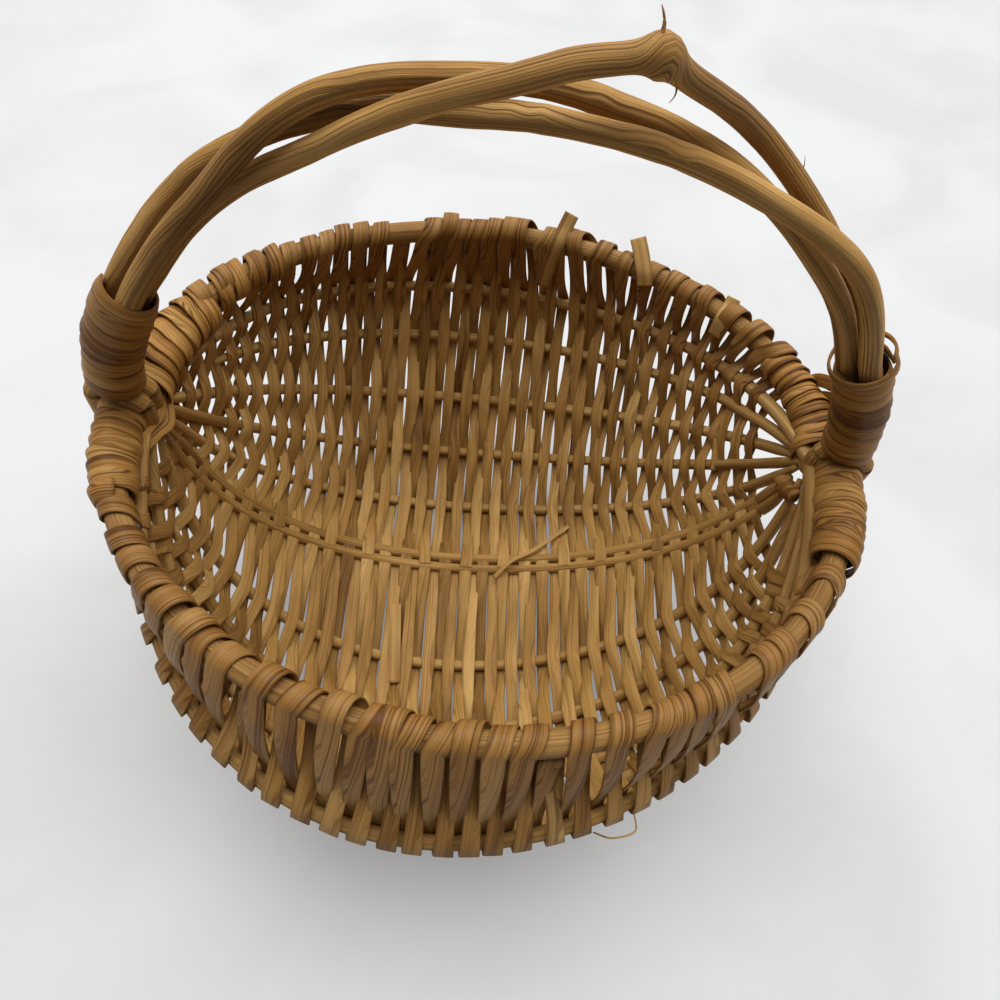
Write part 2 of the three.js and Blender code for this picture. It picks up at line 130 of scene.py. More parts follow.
# Handle: three rods that pass over and under each other along one arch. A route holds places across the
# arch, in rod pitches away from the basket and to the back, between the two lashed ends
HANDLE_HEIGHT = 94
HANDLE_POWER = 1.75
HANDLE_ROD = 5.2
ROD_GAP = 0.3
HANDLE_PITCH = HANDLE_ROD + ROD_GAP
BUNDLE_RADIUS = HANDLE_PITCH / math.sqrt(3)
LASHED_SHARE = 0.16
BESIDE_RIM = (RIM_ROD + HANDLE_ROD) / 2 + ROD_GAP
STRADDLE = (2.5, 8.5)
OUTER_TAIL = 14
INNER_TAIL = 4
HANDLE_RODS = {
    "outer": {
        "phases": (15, 290),
        "route": [(0.61, 1.07), (0.1, 0.9), (-0.56, 0.12), (-0.25, -0.7), (0.13, -0.57), (0.94, -0.84)],
    },
    "kinked": {
        "phases": (135, 50),
        "route": [(-0.47, 0.88), (-0.17, -0.16), (0.99, -1.23), (2.01, -0.85), (0.97, 1.54), (0.39, 1.28)],
    },
    "inner": {
        "phases": (255, 170),
        "route": [(0.22, -0.22), (0.99, 0.33), (0.38, 0.51), (0.03, 0.42), (-0.09, 0.74), (-0.11, -0.3)],
    },
}
# A rod's radius at an ear and at the top, and the heights between which it thins, mm
HANDLE_THICK = 2.8
HANDLE_THIN = 2.42
HANDLE_THINS = (15, 85)
# The kinked rod's knuckle: place and spreads in degrees of the arch from the right ear, rise and swell in mm
KNUCKLE_PLACE = 80
KNUCKLE_RISE = 2.2
KNUCKLE_SPREAD = 3.2
KNUCKLE_SHARPNESS = 1.4
KNUCKLE_SWELL = 1.3
KNUCKLE_SWELL_SPREAD = 1.5

MM = 0.001
UP = np.array([0.0, 0.0, 1.0])
BACK = np.array([0.0, 1.0, 0.0])

low, high = (np.array(corner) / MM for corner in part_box("rim_hoop"))
RIM_CENTRE = (low + high) / 2
RIM_HALF = (high - low) / 2 - RIM_ROD / 2


def unit(v):
    return v / np.linalg.norm(v, axis=-1, keepdims=True)


def smoothstep(x, low_end, high_end):
    t = np.clip((x - low_end) / (high_end - low_end), 0, 1)
    return t * t * (3 - 2 * t)


def lerp(a, b, t):
    return a + (b - a) * t


def wander(rng, count, size, step):
    """A smooth random run of values about zero, with a new target every step stations."""
    knots = np.array([rng.gauss(0, size) for _ in range(count // step + 4)])
    places = np.arange(count) / step
    whole = places.astype(int)
    part = places - whole
    part = part * part * (3 - 2 * part)
    return lerp(knots[whole], knots[whole + 1], part)


def spline(places, values, per_span):
    """A smooth curve through values at uneven places, with per_span stations on each span."""
    values = np.asarray(values, dtype=float)
    gaps = np.diff(places)[:, None]
    slopes = np.diff(values, axis=0) / gaps
    before, after = gaps[:-1], gaps[1:]
    inner = (slopes[:-1] * after + slopes[1:] * before) / (before + after)
    tangents = np.concatenate([slopes[:1], inner, slopes[-1:]])
    t = np.linspace(0, 1, per_span, endpoint=False)[:, None]
    spans = []
    for i, gap in enumerate(gaps):
        start, end = values[i], values[i + 1]
        spans.append(
            (2 * t**3 - 3 * t**2 + 1) * start
            + (t**3 - 2 * t**2 + t) * gap * tangents[i]
            + (3 * t**2 - 2 * t**3) * end
            + (t**3 - t**2) * gap * tangents[i + 1]
        )
    spans.append(values[-1:])
    return np.concatenate(spans)


def curve_through(points, per_span):
    points = np.asarray(points, dtype=float)
    steps = np.linalg.norm(np.diff(points, axis=0), axis=1)
    return spline(np.concatenate([[0], np.cumsum(np.sqrt(steps))]), points, per_span)


class Skin:
    """Collects strips and rods into one mesh, with coordinates along the grain for its material."""

    def __init__(self):
        self.points = []
        self.faces = []
        self.grain = []
        self.look = []
        self.count = 0

    def sweep(self, centres, across, up, profile, seed, tone, wear_and_shade=0.0):
        """Sweeps a closed profile, in mm, along a path. profile is (stations, corners, 2)."""
        stations, corners = profile.shape[:2]
        points = (
            centres[:, None, :]
            + across[:, None, :] * profile[:, :, :1]
            + up[:, None, :] * profile[:, :, 1:]
        )
        steps = np.linalg.norm(np.diff(centres, axis=0), axis=1)
        grain = np.empty((stations, corners, 3))
        round_way = np.linalg.norm(np.diff(profile, axis=1, append=profile[:, :1]), axis=2)
        grain[:, :, 0] = np.cumsum(round_way, axis=1)
        grain[:, :, 1] = np.concatenate([[0], np.cumsum(steps)])[:, None]
        grain[:, :, 2] = seed
        reach = np.abs(profile[:, :, 0]).max(axis=1, keepdims=True)
        look = np.empty((stations, corners, 3))
        look[:, :, 0] = np.broadcast_to(tone, (stations,))[:, None]
        look[:, :, 1] = np.abs(profile[:, :, 0]) / reach
        look[:, :, 2] = np.broadcast_to(wear_and_shade, (stations,))[:, None]
        start = self.count
        for i in range(stations - 1):
            here = start + i * corners
            for k in range(corners):
                after = (k + 1) % corners
                self.faces.append((here + k, here + after, here + corners + after, here + corners + k))
        last = start + (stations - 1) * corners
        self.faces.append(tuple(start + k for k in reversed(range(corners))))
        self.faces.append(tuple(last + k for k in range(corners)))
        self.points.append(points.reshape(-1, 3))
        self.grain.append(grain.reshape(-1, 3))
        self.look.append(look.reshape(-1, 3))
        self.count += stations * corners

    def piece(self, name, material, replaced=()):
        points = (np.concatenate(self.points) + RIM_CENTRE) * MM
        mesh = bpy.data.meshes.new(name)
        mesh.from_pydata(points.tolist(), [], self.faces)
        for attribute, values in (("grain", self.grain), ("look", self.look)):
            made = mesh.attributes.new(attribute, "FLOAT_VECTOR", "POINT")
            made.data.foreach_set("vector", np.concatenate(values).astype(np.float32).ravel())
        mesh.polygons.foreach_set("use_smooth", [True] * len(mesh.polygons))
        mesh.materials.append(material)
        mesh.update()
        made = bpy.data.objects.new(name, mesh)
        bpy.context.scene.collection.objects.link(made)
        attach(made, "root")
        if replaced:
            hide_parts(*replaced)


def disc(radius, corners):
    """Corners of a round section, one row of them for each radius."""
    turns = np.linspace(0, 2 * np.pi, corners, endpoint=False)
    ring = np.stack([np.cos(turns), np.sin(turns)], axis=-1)
    return np.asarray(radius).reshape(-1, 1, 1) * ring


# A splint's section, in half widths and thicknesses: slightly crowned on one side, flatter on the other
SPLINT_SECTION = np.array(
    [(-1, 0.02), (-0.98, 0.26), (-0.9, 0.41), (-0.45, 0.52), (0, 0.56), (0.45, 0.52), (0.9, 0.41)]
    + [(0.98, 0.26), (1, 0.02), (0.98, -0.22), (0.9, -0.34), (0.3, -0.38), (-0.3, -0.38), (-0.9, -0.34)]
    + [(-0.98, -0.22)]
)[::-1] * (1, -1)


def splint_profile(width, thickness):
    profile = np.empty((len(width),) + SPLINT_SECTION.shape)
    profile[:, :, 0] = SPLINT_SECTION[:, 0] * width[:, None] / 2
    profile[:, :, 1] = SPLINT_SECTION[:, 1] * thickness
    return profile


def way_along(centres):
    return unit(np.gradient(centres, axis=0))


def lay_strip(
    skin, centres, sideways, width, seed, tone, wear_and_shade=0.0, twist=0.0, thickness=SPLINT_THICKNESS
):
    """A splint along a path, its width as near to sideways as the path allows, turned by a twist."""
    count = len(centres)
    way = way_along(centres)
    across = unit(sideways - way * np.sum(sideways * way, axis=1, keepdims=True))
    face = np.cross(way, across)
    twist = np.broadcast_to(twist, (count,))[:, None]
    across = across * np.cos(twist) + face * np.sin(twist)
    face = np.cross(way, across)
    width = np.broadcast_to(width, (count,))
    skin.sweep(centres, across, face, splint_profile(width, thickness), seed, tone, wear_and_shade)


def lay_rod(skin, centres, radius, seed, tone, corners, wear_and_shade=0.0):
    """A round rod along a path."""
    way = way_along(centres)
    side = np.cross(way, UP)
    weak = np.linalg.norm(side, axis=1) < 0.3
    side[weak] = np.cross(way[weak], BACK)
    across = unit(side)
    for i in range(1, len(across)):
        if across[i] @ across[i - 1] < 0:
            across[i] = -across[i]
    up = np.cross(way, across)
    radius = np.broadcast_to(radius, (len(centres),))
    skin.sweep(centres, across, up, disc(radius, corners), seed, tone, wear_and_shade)


# Noise in the wood: scales round a piece and along it, per mm, a step for each seed, and detail
STREAKS = (2.2, 0.009, 7.1, 1.0)
FIBRES = (7.5, 0.03, 3.7, 1.0)
CLOUDS = (0.15, 0.035, 5.3, 2.0)
BLOTCHES = (0.5, 0.1, 1.9, 3.0)
# Where the dark, middle and light colours lie on the shade from 0 to 1
SHADE_PLACES = (0.22, 0.5, 0.78)
# How much handling strengthens the lines, stains the wood and smooths it; on the weavers near the rim the same
# mask also paints shade
HANDLED_AND_SHADED_LINES = 0.5
HANDLED_STAIN_AND_SHADE = 0.46
HANDLED_SMOOTHING = 0.12
# How much the blotches of dirt, and the darkening along each piece's edges, darken the wood
DIRT_AND_EDGE_DARKENING = 0.35
WOOD_SPECULAR = 0.16
RELIEF_DEPTH = 0.0006


def grain_material(name, dark, mid, light, stain, roughness, lines, bump):
    """Wood split or peeled along its grain.

    A mesh's grain attribute holds (round the piece, along it, seed), in mm. Its look attribute holds
    (tone of the piece, nearness to its edge, handling, which on the weavers near the rim is also painted
    shade).
    """
    material = bpy.data.materials.new(name)
    material.use_nodes = True
    nodes = material.node_tree.nodes
    links = material.node_tree.links
    nodes.clear()

    def node(kind, **settings):
        made = nodes.new(kind)
        for key, value in settings.items():
            setattr(made, key, value)
        return made

    def math_node(operation, first, second, clamp=False):
        made = node("ShaderNodeMath", operation=operation, use_clamp=clamp)
        for socket, value in zip(made.inputs, (first, second)):
            if isinstance(value, (int, float)):
                socket.default_value = value
            else:
                links.new(value, socket)
        return made.outputs[0]

    def noise(x, y, z, detail):
        """Noise over the grain, with a scale per mm round and along the piece."""
        stretched = node("ShaderNodeMapping")
        links.new(grain, stretched.inputs["Vector"])
        stretched.inputs["Scale"].default_value = (x, y, z)
        made = node("ShaderNodeTexNoise")
        links.new(stretched.outputs["Vector"], made.inputs["Vector"])
        made.inputs["Scale"].default_value = 1.0
        made.inputs["Detail"].default_value = detail
        return made.outputs["Fac"]

    def beyond(value, limit, factor, clamp=False):
        """How far a value lies beyond a limit, times a factor."""
        return math_node("MULTIPLY", math_node("SUBTRACT", value, limit), factor, clamp)

    def mix(factor, first, second):
        made = node("ShaderNodeMix", data_type="RGBA")
        for socket, value in ((made.inputs[0], factor), (made.inputs[6], first), (made.inputs[7], second)):
            if isinstance(value, tuple):
                socket.default_value = (*value, 1)
            else:
                links.new(value, socket)
        return made.outputs[2]

    output = node("ShaderNodeOutputMaterial")
    shader = node("ShaderNodeBsdfPrincipled")
    links.new(shader.outputs[0], output.inputs[0])
    grain = node("ShaderNodeAttribute", attribute_name="grain").outputs["Vector"]
    look = node("ShaderNodeSeparateXYZ")
    links.new(node("ShaderNodeAttribute", attribute_name="look").outputs["Vector"], look.inputs[0])
    tone, edge, wear_and_shade = look.outputs

    streaks = noise(*STREAKS)
    fibres = noise(*FIBRES)
    clouds = noise(*CLOUDS)
    blotches = noise(*BLOTCHES)

    shades = node("ShaderNodeValToRGB")
    elements = shades.color_ramp.elements
    elements[0].position, middle, elements[1].position = SHADE_PLACES
    elements[0].color = (*dark, 1)
    elements[1].color = (*light, 1)
    elements.new(middle).color = (*mid, 1)
    # Lines are faint on the clean wood inside, and plainer where it is handled and where the weavers carry
    # painted shade near the rim
    shade = math_node("ADD", math_node("MULTIPLY", streaks, 0.6), math_node("MULTIPLY", fibres, 0.4))
    contrast = math_node("ADD", math_node("MULTIPLY", wear_and_shade, HANDLED_AND_SHADED_LINES), lines)
    shade = math_node("ADD", beyond(shade, 0.5, contrast), 0.5)
    shade = math_node("ADD", shade, beyond(tone, 0.5, 0.6))
    shade = math_node("ADD", shade, beyond(clouds, 0.5, 0.5))
    links.new(shade, shades.inputs[0])
    # Handling turns the wood more orange and darker, and near the weavers' rim this is also painted shade;
    # dirt settles in its lines and in blotches, and the wood is darker along its edges
    stain_and_shade = math_node("MULTIPLY", wear_and_shade, HANDLED_STAIN_AND_SHADE, clamp=True)
    colour = mix(stain_and_shade, shades.outputs[0], stain)
    furrows = beyond(0.475, streaks, 7.0, clamp=True)
    depth = math_node("MULTIPLY", contrast, 1.1)
    colour = mix(math_node("MULTIPLY", furrows, depth, clamp=True), colour, dark)
    threads = beyond(0.42, fibres, 5.0, clamp=True)
    depth = math_node("MULTIPLY", contrast, 0.75)
    colour = mix(math_node("MULTIPLY", threads, depth), colour, dark)
    spotted = beyond(blotches, 0.58, 3.0, clamp=True)
    colour = mix(math_node("MULTIPLY", spotted, DIRT_AND_EDGE_DARKENING), colour, dark)
    # Darker along each piece's edges
    border = beyond(edge, 0.78, 3.2, clamp=True)
    colour = mix(math_node("MULTIPLY", border, DIRT_AND_EDGE_DARKENING), colour, dark)
    links.new(colour, shader.inputs["Base Color"])

    rough = math_node("ADD", roughness, beyond(fibres, 0.5, 0.3))
    smoothed = math_node("MULTIPLY", wear_and_shade, HANDLED_SMOOTHING)
    links.new(math_node("SUBTRACT", rough, smoothed, clamp=True), shader.inputs["Roughness"])
    shader.inputs["Specular IOR Level"].default_value = WOOD_SPECULAR
    height = math_node("ADD", math_node("MULTIPLY", streaks, 0.7), math_node("MULTIPLY", fibres, 0.3))
    relief = node("ShaderNodeBump")
    relief.inputs["Strength"].default_value = bump
    relief.inputs["Distance"].default_value = RELIEF_DEPTH
    links.new(height, relief.inputs["Height"])
    links.new(relief.outputs[0], shader.inputs["Normal"])
    return material


splint_wood = grain_material(
    "splint_wood", (0.09, 0.032, 0.005), (0.37, 0.2, 0.053), (0.58, 0.36, 0.125), (0.2, 0.07, 0.011),
    roughness=0.56, lines=0.3, bump=0.35,
)
rib_wood = grain_material(
    "rib_wood", (0.13, 0.052, 0.01), (0.38, 0.21, 0.06), (0.54, 0.34, 0.125), (0.3, 0.15, 0.05),
    roughness=0.6, lines=0.35, bump=0.35,
)
rod_wood = grain_material(
    "rod_wood", (0.075, 0.026, 0.005), (0.43, 0.225, 0.06), (0.72, 0.44, 0.155), (0.3, 0.14, 0.045),
    roughness=0.53, lines=0.6, bump=0.6,
)
lashing_wood = grain_material(
    "lashing_wood", (0.085, 0.029, 0.005), (0.36, 0.175, 0.038), (0.6, 0.35, 0.11), (0.3, 0.12, 0.02),
    roughness=0.5, lines=0.6, bump=0.45,
)


# Rim hoop
def rim_point(angle, side):
    return np.array([RIM_HALF[0] * math.cos(angle), side * RIM_HALF[1] * math.sin(angle), 0.0])


def rim_frame(angle, side):
    """The rim's centre, its way towards +X and its way straight out of the basket."""
    along = unit(np.array([RIM_HALF[0] * math.sin(angle), -side * RIM_HALF[1] * math.cos(angle), 0.0]))
    out = -side * np.array([along[1], -along[0], 0.0])
    return rim_point(angle, side), along, out


def make_rim():
    rng = random.Random(3)
    skin = Skin()
    stations = 241
    turns = np.linspace(0, 2 * np.pi, stations)
    centres = np.stack([RIM_HALF[0] * np.cos(turns), RIM_HALF[1] * np.sin(turns), 0 * turns], axis=1)
    radius = RIM_ROD / 2 + wander(rng, stations, 0.05, 12)
    radius[-1] = radius[0]
    lay_rod(skin, centres, radius, seed=1.0, tone=0.4, corners=20, wear_and_shade=0.3)
    skin.piece("rim_rod", rib_wood, ["rim_hoop"])


# Ribs: fall below the rim plane and reach, read back from each rib's box
class Rib:
    def __init__(self, name):
        corners = [np.array(corner) / MM - RIM_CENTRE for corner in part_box(name)]
        depth = -corners[0][2] - RIB_ROD / 2
        self.name = name
        self.aside = {"centre_rod_back": 1, "centre_rod_front": -1}.get(name, 0)
        if self.aside:
            far = np.mean([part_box(rod)[k][1] for rod in RIB_NAMES[5:7] for k in (0, 1)]) / MM - RIM_CENTRE[1]
        else:
            far = corners[1][1] if corners[1][1] > -corners[0][1] else corners[0][1]
            far -= math.copysign(RIB_ROD / 2, far)
        self.fall = math.atan2(depth, far)
        self.reach = math.hypot(depth, far)
        self.plane = np.array([0.0, math.sin(self.fall), math.cos(self.fall)])
        ends = (PAIR_TIP, PAIR_TIP) if self.aside else RIB_ENDS.get(name, USUAL_END)
        self.ends = (math.pi - math.radians(ends[0]), math.radians(ends[1]))
        woven = RIB_WOVEN.get(name, (0, 0))
        self.woven = (math.pi - math.radians(woven[0]), math.radians(woven[1]))
        self.elbow = name in ELBOW_RIBS

    def passed_by(self, angle):
        return not self.woven[1] < angle < self.woven[0]

    def radius(self, angle):
        if self.elbow and angle < math.pi / 2:
            return lerp(ELBOW_RADIUS, RIB_ROD / 2, smoothstep(angle, *map(math.radians, ELBOW_THINS)))
        from_tip = min(self.ends[0] - angle, angle - self.ends[1])
        return RIB_ROD / 2 * lerp(RIB_TIP_SHARE, 1, smoothstep(from_tip, 0, math.radians(RIB_TIP_SWEEP)))

    def point(self, angle):
        lean = 1 - RIB_LEAN * math.cos(angle)
        reach = self.reach * math.sin(angle) ** RIB_FULLNESS * lean
        across = np.array([0.0, math.cos(self.fall), -math.sin(self.fall)])
        point = RIB_HALF_SPAN * math.cos(angle) * np.array([1.0, 0.0, 0.0]) + reach * across
        return point + self.plane * self.aside * (self.radius(angle) + PAIR_GAP / 2)

    def lifted(self, angle):
        """A rib's free end lies inside the rows that pass it by."""
        past = max(angle - self.woven[0], self.woven[1] - angle) + math.radians(LIFT_LEAD)
        lift = LOOSE_RIB_LIFT * smoothstep(past, 0, math.radians(LIFT_SWEEP))
        inwards = np.array([0.0, -math.cos(self.fall), math.sin(self.fall)])
        return self.point(angle) + inwards * lift

    def way(self, angle):
        return unit(self.point(angle - 0.002) - self.point(angle + 0.002))


RIBS = [Rib(name) for name in RIB_NAMES]
OUTER_RIBS = {1: RIBS[0], -1: RIBS[-1]}


def make_ribs():
    for number, rib in enumerate(RIBS):
        rng = random.Random(40 + number)
        skin = Skin()
        stations = 120
        angles = np.linspace(rib.ends[0], rib.ends[1], stations)
        free = rib.name in LIFTED_ENDS
        centres = np.array([rib.lifted(a) if free else rib.point(a) for a in angles])
        if rib.elbow:
            centres = np.concatenate([centres, lerp(centres[-1:], ELBOW_TIP, np.array([[0.5], [1.0]]))])
            angles = np.append(angles, [rib.ends[1]] * 2)
            stations = len(angles)
        radius = np.array([rib.radius(a) for a in angles]) + wander(rng, stations, 0.04, 9)
        tone = 0.55 + 0.1 * rng.uniform(-1, 1) + wander(rng, stations, 0.06, 16)
        lay_rod(skin, centres, radius, 5.0 + number, tone, corners=12)
        skin.piece(rib.name + "_rod", rib_wood, [rib.name])


# Weaving
STATIONS_PER_SPAN = 10
WRAP_STATIONS = 14
RIM_CLEAR = (RIM_ROD + SPLINT_THICKNESS) / 2 + TOUCH
RIB_CLEAR = (RIB_ROD + SPLINT_THICKNESS) / 2 + TOUCH
# A row's width at the rim and at the rib beside it, as shares of a splint's width
FRONT_SPREAD = (1.24, 1.08)
BACK_SPREAD = (1.12, 1.03)
# Between two ribs a row tilts and narrows a little as it slips past its neighbours
TILT = 0.2
NARROWING = 0.14
RIM_NARROWING = 0.2
RIM_DIVE = 1.5
# Where ribs crowd together a row waves less, with its full wave only over spans longer than this, mm
FULL_WAVE_SPAN = 11
LEAST_WAVE = 0.3
# A row bends over a rib within this share of the way to the next one, and runs straight between them
BEND = 0.25
# How far the rows swell from straight lines between the ribs towards a smooth curve through them
SLACK = 0.35
# How much one row's width and tone differ from another's
ROW_WIDTH_SPREAD = 0.03
ROW_TONE_SPREAD = 0.09
# A skipped pair of rows folds past the outer rib: how far towards the rim it reaches, how far its place
# on the rib moves to its place at the rim, and how tightly it folds
FOLD_REACH = 0.8
FOLD_PULL = 0.3
FOLD_CLEAR = 0.6
FOLD_LEAN = 0.5
FOLD_LOOSENESS = 0.2
# How far the rows stand out round the foremost rib, mm
FRONT_STANDING = 0.7


def ramp(t):
    """From 0 to 1, straight but for a bend at each end."""
    slope = 1 / (1 - BEND)
    start = slope * t**2 / (2 * BEND)
    end = 1 - slope * (1 - t) ** 2 / (2 * BEND)
    return np.where(t < BEND, start, np.where(t > 1 - BEND, end, slope * (t - BEND / 2)))


def row_angle(row, rib_name=None):
    angle = lerp(FIRST_ROW, LAST_ROW, row / (ROWS - 1))
    along = (angle - DRIFT_SPAN[0]) / (DRIFT_SPAN[1] - DRIFT_SPAN[0])
    drift = math.sin(math.pi * min(max(along, 0), 1)) * DRIFT_SHARES.get(rib_name, 0)
    return math.radians(angle - FRONT_DRIFT * drift)


def wrap_number(row, side):
    return row // 2 if side < 0 else (row + 1) // 2


def over_rim(row, side):
    return wrap_number(row, side) not in (FRONT_SKIPPED if side < 0 else BACK_SKIPPED)


def rim_place(row, side):
    """Where a row meets the rim: it shares each wrap with the row before or after it."""
    wrap = (FRONT_WRAPS if side < 0 else BACK_WRAPS)[wrap_number(row, side)]
    first = row % 2 == (0 if side < 0 else 1)
    lean = WRAP_LEAN if over_rim(row, side) else FOLD_LEAN
    return math.radians(wrap + (lean / 2 if first else -lean / 2))


def rim_knot(row, side, over):
    """A row's place at the rim, or at its fold between the outer rib and the rim."""
    base, along, _ = rim_frame(rim_place(row, side), side)
    clear = RIM_CLEAR
    if not over_rim(row, side):
        rib = OUTER_RIBS[side]
        on_rib = rib.point(lerp(row_angle(row, rib.name), rim_place(row, side), FOLD_PULL))
        base = lerp(on_rib, base, FOLD_REACH)
        clear = FOLD_CLEAR
    wide = (FRONT_SPREAD if side < 0 else BACK_SPREAD)[0]
    return {"base": base, "sideways": along, "over": over, "clear": clear, "wide": wide, "rim": True}


def row_knots(row, rng):
    """What a row passes from the back rim to the front rim, and on which side: 1 is outside, -1 inside."""
    over = -1 if row % 2 == 0 else 1
    knots = [rim_knot(row, 1, -over)]
    nudge = rng.gauss(0, ROW_NUDGE)
    for rib in RIBS:
        if rib.passed_by(row_angle(row)):
            continue
        if rib.aside < 0:
            over = -over
        side = 1 if rib.name.startswith("back") else -1
        outer = rib is OUTER_RIBS[side]
        pull = RIM_PULL if outer else 0
        place = lerp(row_angle(row, rib.name), rim_place(row, side), pull)
        place += math.radians(nudge + rng.gauss(0, CROSSING_NUDGE))
        wide = (FRONT_SPREAD if side < 0 else BACK_SPREAD)[1] if outer else 1
        clear = rib.radius(place) + RIB_CLEAR - RIB_ROD / 2
        if rib is OUTER_RIBS[-1] and over > 0:
            clear += FRONT_STANDING
        knot = {"base": rib.point(place), "sideways": rib.way(place), "over": over, "clear": clear}
        knots.append({**knot, "wide": wide, "pair": rib.aside > 0})
        over = -over
    knots.append(rim_knot(row, -1, over))
    return knots


class Row:
    """Stations of a row: a smooth sheet through the ribs, with a wave to the row's side of each."""

    def __init__(self, row, rng):
        knots = row_knots(row, rng)
        bases = np.array([k["base"] for k in knots])
        sideways = np.array([k["sideways"] for k in knots])
        chords = np.concatenate([bases[1:2] - bases[:1], bases[2:] - bases[:-2], bases[-1:] - bases[-2:-1]])
        normals = unit(np.cross(sideways, chords))
        reaches = np.linalg.norm(np.diff(bases, axis=0), axis=1)
        nearest = np.minimum(np.append(reaches, reaches[-1]), np.append(reaches[0], reaches))
        calm = np.clip(nearest / FULL_WAVE_SPAN, LEAST_WAVE, 1)
        offsets = [k["over"] * k["clear"] * (1 if k.get("rim") else c) for k, c in zip(knots, calm)]
        places = np.concatenate([[0], np.cumsum(np.sqrt(reaches))])
        t = np.linspace(0, 1, STATIONS_PER_SPAN, endpoint=False)
        waves, slips, widths = [], [], []
        for start, end, a, b in zip(knots, knots[1:], offsets, offsets[1:]):
            at_rim = start.get("rim") or end.get("rim")
            along = t
            if start.get("rim"):
                along = t**RIM_DIVE
            elif end.get("rim"):
                along = 1 - (1 - t) ** RIM_DIVE
            slip = 0 * t if start.get("pair") else np.sin(np.pi * along)
            waves.append(lerp(a, b, ramp(along)))
            slips.append(slip)
            narrowing = RIM_NARROWING if at_rim else NARROWING
            widths.append(lerp(start["wide"], end["wide"], t) * (1 - narrowing * slip**1.5))
        waves.append([offsets[-1]])
        slips.append([0])
        widths.append([knots[-1]["wide"]])
        normal_way = unit(spline(places, normals, STATIONS_PER_SPAN))
        sheet = spline(places, bases, STATIONS_PER_SPAN)
        taut = np.concatenate([lerp(a, b, t[:, None]) for a, b in zip(bases, bases[1:])] + [bases[-1:]])
        sheet = lerp(taut, sheet, SLACK)
        self.centres = sheet + normal_way * np.concatenate(waves)[:, None]
        self.sideways = spline(places, sideways, STATIONS_PER_SPAN)
        self.slip = np.concatenate(slips)
        self.width = np.concatenate(widths) * (1 + rng.gauss(0, ROW_WIDTH_SPREAD))
        self.tone = np.full(len(self.centres), rng.gauss(0, ROW_TONE_SPREAD))
        self.ends = [
            {
                "base": bases[k],
                "sideways": sideways[k],
                "out": normals[k] * knots[k]["over"],
                "away": unit(bases[k] - bases[inner]),
                "clear": knots[k]["clear"],
            }
            for k, inner in ((0, 1), (-1, -2))
        ]
        pair = [i for i, knot in enumerate(knots) if knot.get("pair")][0]
        self.middle = int((pair + 0.5) * STATIONS_PER_SPAN)


def turn_round(start, end, loose, sway):
    """Half a turn from one row's end to the next row's start, swaying aside on top."""
    shares = np.linspace(0, 1, WRAP_STATIONS + 2)[1:-1, None]
    half = np.pi * shares
    away = unit(start["away"] + end["away"])
    turned = unit(lerp(start["out"], -end["out"], shares) * np.cos(half) + away * np.sin(half))
    clear = lerp(start["clear"], end["clear"], shares) + loose * np.sin(half) ** 1.5
    sideways = lerp(start["sideways"], end["sideways"], shares)
    centres = lerp(start["base"], end["base"], shares) + turned * clear + sideways * sway * np.sin(half)
    return centres, sideways


# How loose the splints stand over the rim, and how far they lean along it, mm
FRONT_LOOSENESS = 0.9
BACK_LOOSENESS = 1.7
MOST_LOOSE = 2.4
WRAP_SWAY = 0.9
# Heights, mm, over which the splints turn handled towards the rim: more orange and darker, partly handling and
# partly painted shade under the rim
HANDLED_AND_SHADED_HEIGHT = (-42, -4)


